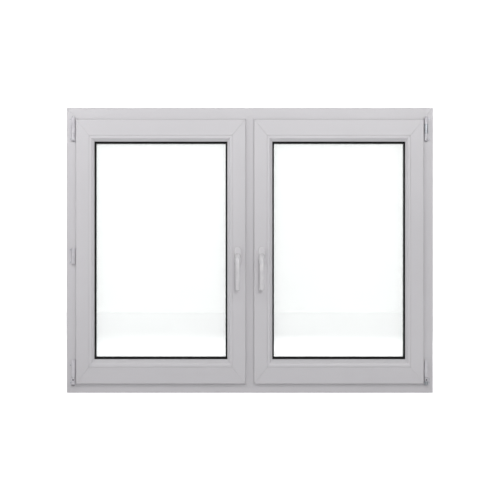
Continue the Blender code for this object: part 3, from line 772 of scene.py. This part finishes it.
@dataclass
class Handle:
    """A lever handle: cast rosette, turned collar, and a lever swept from its neck to its grip."""

    hand: Hand
    carried: Carried
    sections: int = 56
    facets: int = 40
    neck_radius: float = 0.0112
    bend_radius: float = 0.026
    neck_length: float = 0.0115
    grip_half_width: tuple[float, float] = (0.0094, 0.0086)
    grip_half_depth: tuple[float, float] = (0.0068, 0.0056)
    grip_bow: float = 0.0032
    tip_share: float = 0.045
    tip_least: float = 0.12
    squareness: float = 0.82
    corner_share: float = 0.43
    centre: Vector = field(init=False)
    size: tuple[float, float] = field(init=False)
    depth: float = field(init=False)

    def __post_init__(self) -> None:
        """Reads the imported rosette's place and size, which the new castings keep."""
        low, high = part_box(self.hand.word + "_handle_rosette")
        self.centre = Vector(((low.x + high.x) / 2, low.y, (low.z + high.z) / 2))
        self.size = (high.x - low.x, high.z - low.z)
        self.depth = high.y - low.y

    def build(self) -> None:
        """Builds the rosette, collar and lever, and dresses the spindle."""
        word = self.hand.word
        self.carried.dress(word + "_handle_spindle", ZINC, 0.2)
        self.build_rosette()
        self.build_lever()

    def build_rosette(self) -> None:
        """The base plate: a soft-edged cover with a fine joint line round its foot."""
        back = self.centre.y + self.depth
        steps = (
            (0.0006, 0.0),
            (0.0006, 0.0010),
            (0.0, 0.0012),
            (0.0, 0.0062),
            (0.0003, 0.0076),
            (0.0010, 0.0088),
            (0.0022, 0.0096),
            (0.0042, self.depth),
        )
        width, height = self.size
        loops = []
        for inset, rise in steps:
            half = (width / 2 - inset, height / 2 - inset)
            base = Vector((self.centre.x, back - rise, self.centre.z))
            outline = rounded_box(*half, width * self.corner_share - inset, 12)
            loops.append([base + Vector((a, 0, b)) for a, b in outline])
        shape = bmesh.new()
        skin(shape, loops)
        word = self.hand.word
        name = word + "_rosette_cover"
        rosette = make_piece(name, shape, HANDLE_COAT, word + "_sash")
        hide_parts(word + "_handle_rosette")
        LOG.info("built %s", name)

    def section(self, share: float) -> tuple[float, float, float, float, float]:
        """Where the lever's centre line is and how big its section is.

        Args:
            share: Distance along the lever, from 0 at the rosette to 1 at the tip.

        Returns:
            Drop along Z, place along Y, half width, half depth, and the line's turn in radians.
        """
        low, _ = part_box(self.hand.word + "_handle_lever")
        total = self.centre.z - low.z
        arc = self.bend_radius * math.pi / 2
        grip = total - self.bend_radius
        travel = share * (self.neck_length + arc + grip)
        start = self.centre.y - 0.0003
        if travel <= self.neck_length:
            return 0.0, start - travel, self.neck_radius, self.neck_radius, 0.0
        travel -= self.neck_length
        neck_end = start - self.neck_length
        wide_in, wide_out = self.grip_half_width
        deep_in, deep_out = self.grip_half_depth
        if travel <= arc:
            turn = travel / self.bend_radius
            blend = travel / arc
            ease = blend * blend * (3 - 2 * blend)
            width = self.neck_radius + (wide_in - self.neck_radius) * ease
            depth = self.neck_radius + (deep_in - self.neck_radius) * ease
            drop = -self.bend_radius * (1 - math.cos(turn))
            return drop, neck_end - self.bend_radius * math.sin(turn), width, depth, turn
        along = (travel - arc) / grip
        bow = self.grip_bow * math.sin(math.pi * along)
        width = wide_in + (wide_out - wide_in) * along
        depth = deep_in + (deep_out - deep_in) * along
        drop = -self.bend_radius - grip * along
        return drop, neck_end - self.bend_radius - bow, width, depth, math.pi / 2

    def build_lever(self) -> None:
        """The lever, swept through super-elliptic sections and rounded off at its tip."""
        loops = []
        for number in range(self.sections + 1):
            share = number / self.sections
            drop, y, width, depth, turn = self.section(share)
            tip = min(1.0, (1.0 - share) / self.tip_share)
            rounding = max(math.sqrt(max(0.0, 1 - (1 - tip) ** 2)), self.tip_least)
            loop = []
            for a, b in circle(1.0, self.facets):
                across = math.copysign(abs(a) ** self.squareness, a) * width * rounding
                through = math.copysign(abs(b) ** self.squareness, b) * depth * rounding
                offset = Vector((across, -through * math.sin(turn), through * math.cos(turn)))
                loop.append(Vector((self.centre.x, y, self.centre.z + drop)) + offset)
            loops.append(loop)
        shape = bmesh.new()
        skin(shape, loops)
        word = self.hand.word
        name = word + "_lever_casting"
        lever = make_piece(name, shape, HANDLE_COAT, word + "_handle")
        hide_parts(word + "_handle_lever")
        collar = bmesh.new()
        outside = [(0.0128, -0.002), (0.0128, 0.0006), (0.0122, 0.0012)]
        inside = [(0.0113, 0.0012), (0.0113, -0.002)]
        turned(collar, outside + inside, facing(self.centre - ROOM_SIDE * SURFACE_GAP, ROOM_SIDE))
        make_piece(word + "_handle_collar", collar, MOULDED_CAP, word + "_sash")
        LOG.info("built %s_lever_casting and %s_handle_collar", word, word)


@dataclass
class Lock:
    """Locking parts on the edge of a sash and on the mullion."""

    hand: Hand
    carried: Carried
    lower_drop: float = 0.790
    faceplate_screws: tuple[float, ...] = (0.128, 0.330, 0.470, 0.625, 0.760, 0.900, 1.0125)
    faceplate_screw_radius: float = 0.0034
    striker_screw_radius: float = 0.0032
    striker_screw_inset: float = 0.008
    screw_proud: float = 0.0001

    def build(self) -> None:
        """Dresses the rod and keeper, and adds the lower keeper and the faceplate's screws."""
        word = self.hand.word
        self.carried.dress(word + "_drive_rod", ZINC, 0.2)
        self.carried.dress(word + "_striker", ZINC, 0.25)
        self.add_lower_keeper()
        self.add_screws()

    def add_lower_keeper(self) -> None:
        """The second keeper, the same casting as the first, where the lower cam locks."""
        word = self.hand.word
        shape = bmesh.new()
        shape.from_mesh(self.carried.nodes[word + "_striker"].data)
        bmesh.ops.remove_doubles(shape, verts=shape.verts, dist=WELD_DISTANCE)
        bmesh.ops.translate(shape, verts=shape.verts, vec=DOWN * self.lower_drop)
        make_piece(word + "_lower_striker", shape, ZINC, "frame", 0.25)
        LOG.info("built %s_lower_striker", word)

    def add_screws(self) -> None:
        """Countersunk screws along the faceplate and at the ends of both keepers."""
        word = self.hand.word
        low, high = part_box(word + "_lock_faceplate")
        outward = Vector((-self.hand.value, 0, 0))
        face = low.x if self.hand is Hand.RIGHT else high.x
        shape = bmesh.new()
        for height in self.faceplate_screws:
            place = Vector((face, (low.y + high.y) / 2, height)) + outward * self.screw_proud
            screw_head(shape, place, outward, self.faceplate_screw_radius)
        make_piece(word + "_faceplate_screws", shape, ZINC, word + "_sash")
        low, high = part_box(word + "_striker")
        shape = bmesh.new()
        face = high.x if self.hand is Hand.RIGHT else low.x
        for drop in (0.0, self.lower_drop):
            for end in (low.z + self.striker_screw_inset, high.z - self.striker_screw_inset):
                place = Vector((face, (low.y + high.y) / 2, end - drop))
                place -= outward * self.screw_proud
                screw_head(shape, place, -outward, self.striker_screw_radius)
        make_piece(word + "_striker_screws", shape, ZINC, "frame")
        LOG.info("built %s_faceplate_screws and %s_striker_screws", word, word)


@dataclass
class Hinges:
    """The hinges of one sash: packed brackets and leaves, with screws and an adjuster added."""

    hand: Hand
    carried: Carried
    barrel_radius: float = 0.0070
    adjuster_radius: float = 0.0052
    adjuster_height: float = 0.0530
    adjuster_sunk: float = 0.0034
    adjuster_proud: float = 0.0004
    socket_shade_radius: float = 0.0030
    socket_shade_proud: float = 0.0007
    painted_shadow_depth: float = 0.0020
    painted_shadow_taper: float = 0.0008
    screw_radius: float = 0.0026
    screw_end_inset: float = 0.007
    screw_side_inset: float = 0.0036
    screw_rise: float = 0.0025

    def build(self) -> None:
        """Dresses the hinge nodes, then adds the screws and the corner bearing's adjuster."""
        word = self.hand.word
        coated = ["_top_hinge_bracket", "_bottom_hinge_bracket", "_bottom_hinge_strap"]
        if self.hand is Hand.LEFT:
            coated += ["_top_hinge_leaf", "_middle_hinge_bracket", "_middle_hinge_leaf"]
        self.carried.dress_all([(word + name, HINGE_COAT) for name in coated])
        self.carried.dress(word + "_top_hinge_pin", ZINC, 0.2)
        if self.hand is Hand.RIGHT:
            self.carried.dress("right_stay_arm", ZINC, 0.2)
            self.carried.dress("right_pivot_block", ZINC, 0.2)
        self.add_screws()
        self.add_adjuster()

    def add_adjuster(self) -> None:
        """The corner bearing's adjuster, a dark disc of painted shade in its socket, and a dark
        ring of painted shadow under a fixed bearing.
        """
        word = self.hand.word
        low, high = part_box(word + "_bottom_hinge_bracket")
        inner = high.x if self.hand is Hand.LEFT else low.x
        axis = inner + self.hand.value * self.barrel_radius
        front = facing(Vector((axis, low.y, self.adjuster_height)), ROOM_SIDE)
        ring = bmesh.new()
        levels = (-self.adjuster_sunk, self.adjuster_proud)
        turned(ring, [(self.adjuster_radius, level) for level in levels], front)
        make_piece(word + "_bearing_adjuster", ring, HINGE_COAT, "frame")
        # A dark disc stands in for the shaded socket of the adjusting screw: painted shade, not a
        # part of the hinge.
        painted_shade = bmesh.new()
        turned(painted_shade, [(self.socket_shade_radius, 0.0), (self.socket_shade_radius, self.socket_shade_proud)], front)
        # Under the left sash's lower barrel a dark ring is painted shadow below the barrel, not a
        # part of the hinge.
        if self.hand is Hand.LEFT:
            painted_shadow_frame = facing(Vector((axis, low.y + self.barrel_radius, low.z)), DOWN)
            tip = (self.barrel_radius - self.painted_shadow_taper, self.painted_shadow_depth)
            turned(painted_shade, [(self.barrel_radius, 0.0), tip], painted_shadow_frame)
        make_piece(word + "_bearing_plug", painted_shade, EPDM, "frame")
        LOG.info("built %s_bearing_adjuster and %s_bearing_plug", word, word)

    def add_screws(self) -> None:
        """Screws through the plates of the frame brackets."""
        word = self.hand.word
        shape = bmesh.new()
        names = ["_top_hinge_bracket", "_bottom_hinge_bracket"]
        if self.hand is Hand.LEFT:
            names.append("_middle_hinge_bracket")
        for name in names:
            low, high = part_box(word + name)
            outer = low.x if self.hand is Hand.LEFT else high.x
            across = outer - self.hand.value * self.screw_side_inset
            for height in (low.z + self.screw_end_inset, high.z - self.screw_end_inset):
                place = Vector((across, high.y - self.screw_rise, height))
                screw_head(shape, place, ROOM_SIDE, self.screw_radius)
        make_piece(word + "_hinge_screws", shape, ZINC, "frame")
        LOG.info("built %s_hinge_screws", word)


# Studio


@dataclass(frozen=True)
class SoftBox:
    """A rectangular lamp aimed at the middle of the window."""

    name: str
    place: tuple[float, float, float]
    size: tuple[float, float]
    watts: float


SOFT_BOXES = (
    SoftBox("overhead", (-0.25, -1.35, 1.5), (3.4, 0.4), 15.0),
    SoftBox("left_side", (-3.2, -0.9, 1.6), (2.0, 1.6), 15.0),
    SoftBox("right_side", (3.2, -0.9, 1.6), (2.0, 1.6), 9.0),
    SoftBox("weather_side", (1.2, 3.6, 2.2), (3.0, 2.0), 85.0),
)


@dataclass
class Studio:
    """Plain pale floor, soft light from above and the front, and a camera square to the window."""

    distance: float = 7.0
    field: float = 2.0
    eye_height: float = 0.5714
    sensor_mm: float = 36.0
    key_direction: tuple[float, float, float] = (0.14, -1.0, 0.25)
    key_strength: float = 0.66
    key_spread: float = 4.0
    sky_light: float = 0.15
    sky_seen: float = 1.25
    floor_light: float = 0.02
    floor_seen: float = 1.0
    floor_size: float = 9.0
    floor_level: float = -0.0008
    camera_offset: float = 0.0008

    def build(self) -> None:
        """Sets up world, floor, lights and camera."""
        self.world()
        self.floor()
        self.key_light()
        for box in SOFT_BOXES:
            self.area_light(box)
        self.camera()

    def world(self) -> None:
        """A white surround to look at, whose light on the object is dimmer and from above."""
        world = bpy.data.worlds.new("studio")
        bpy.context.scene.world = world
        world.use_nodes = True
        tree = world.node_tree
        tree.nodes.clear()
        place = add_node(tree, "ShaderNodeTexCoord").outputs["Generated"]
        height = add_node(tree, "ShaderNodeSeparateXYZ", links={0: place}).outputs["Z"]
        span = {"From Min": -0.6, "From Max": 0.9}
        share = add_node(tree, "ShaderNodeMapRange", span, {"Value": height})
        shades = [(0.0, linear("bdbcbf")), (1.0, linear("dcdcdf"))]
        sky = ramp(tree, share.outputs["Result"], shades)
        lit = add_node(tree, "ShaderNodeBackground", {"Strength": self.sky_light}, {"Color": sky})
        plain = {"Color": WHITE, "Strength": self.sky_seen}
        seen = add_node(tree, "ShaderNodeBackground", plain)
        bounced = either_ray(tree, "Is Diffuse Ray", "Is Glossy Ray")
        parts = {0: bounced, 1: seen.outputs[0], 2: lit.outputs[0]}
        mixed = add_node(tree, "ShaderNodeMixShader", links=parts)
        add_node(tree, "ShaderNodeOutputWorld", links={"Surface": mixed.outputs[0]})

    def floor(self) -> None:
        """A pale floor that is nearly white, with only the soft shadow under the sill on it."""
        shape = bmesh.new()
        bmesh.ops.create_grid(shape, x_segments=8, y_segments=8, size=self.floor_size)
        mesh = bpy.data.meshes.new("floor")
        shape.to_mesh(mesh)
        shape.free()
        floor = bpy.data.objects.new("floor", mesh)
        floor.location.z = self.floor_level
        bpy.context.scene.collection.objects.link(floor)
        made = bpy.data.materials.new("pale_floor")
        made.use_nodes = True
        tree = made.node_tree
        shader = tree.nodes["Principled BSDF"]
        shader.inputs["Base Color"].default_value = linear("e9e9ea")
        shader.inputs["Roughness"].default_value = 0.9
        shader.inputs["Specular IOR Level"].default_value = 0.0
        bounced = either_ray(tree, "Is Diffuse Ray", "Is Glossy Ray")
        spread = {"To Min": self.floor_seen, "To Max": self.floor_light}
        strength = add_node(tree, "ShaderNodeMapRange", spread, {"Value": bounced})
        glow = add_node(tree, "ShaderNodeEmission", links={"Strength": strength.outputs["Result"]})
        parts = {0: shader.outputs[0], 1: glow.outputs[0]}
        both = add_node(tree, "ShaderNodeAddShader", links=parts)
        tree.links.new(both.outputs[0], tree.nodes["Material Output"].inputs["Surface"])
        mesh.materials.append(made)

    def key_light(self) -> None:
        """A distant light from beside the camera: a little to the right of it and above it."""
        lamp = bpy.data.lights.new("key", "SUN")
        lamp.energy = self.key_strength
        lamp.angle = math.radians(self.key_spread)
        light = bpy.data.objects.new("key", lamp)
        light.location = self.key_direction
        light.rotation_euler = (-Vector(self.key_direction)).to_track_quat("-Z", "Y").to_euler()
        bpy.context.scene.collection.objects.link(light)

    def area_light(self, box: SoftBox) -> None:
        """Sets up one soft box.

        Args:
            box: Its name, place, size and power.
        """
        lamp = bpy.data.lights.new(box.name, "AREA")
        lamp.shape = "RECTANGLE"
        lamp.size, lamp.size_y = box.size
        lamp.energy = box.watts
        light = bpy.data.objects.new(box.name, lamp)
        light.location = box.place
        aim = Vector((0, 0, self.eye_height)) - Vector(box.place)
        light.rotation_euler = aim.to_track_quat("-Z", "Y").to_euler()
        light.visible_camera = False
        bpy.context.scene.collection.objects.link(light)

    def camera(self) -> None:
        """A level camera square to the window, at about the middle of its height."""
        low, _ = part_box("frame_sill")
        lens = bpy.data.cameras.new("camera")
        lens.sensor_width = self.sensor_mm
        lens.lens = self.sensor_mm * self.distance / self.field
        camera = bpy.data.objects.new("camera", lens)
        camera.location = (self.camera_offset, low.y - self.distance, self.eye_height)
        camera.rotation_euler = (math.pi / 2, 0, 0)
        bpy.context.scene.collection.objects.link(camera)
        bpy.context.scene.camera = camera
        bpy.context.scene.view_settings.view_transform = "Standard"


def main() -> None:
    """Builds every part of the window in order."""
    logging.basicConfig(level=logging.INFO, format="%(name)s: %(message)s")
    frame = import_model()
    carried = Carried(frame["nodes"])
    FrameBars(carried).build()
    for hand in Hand:
        for part in (Sash, Handle, Lock, Hinges):
            part(hand, carried).build()
    Studio().build()


if __name__ == "__main__":
    main()
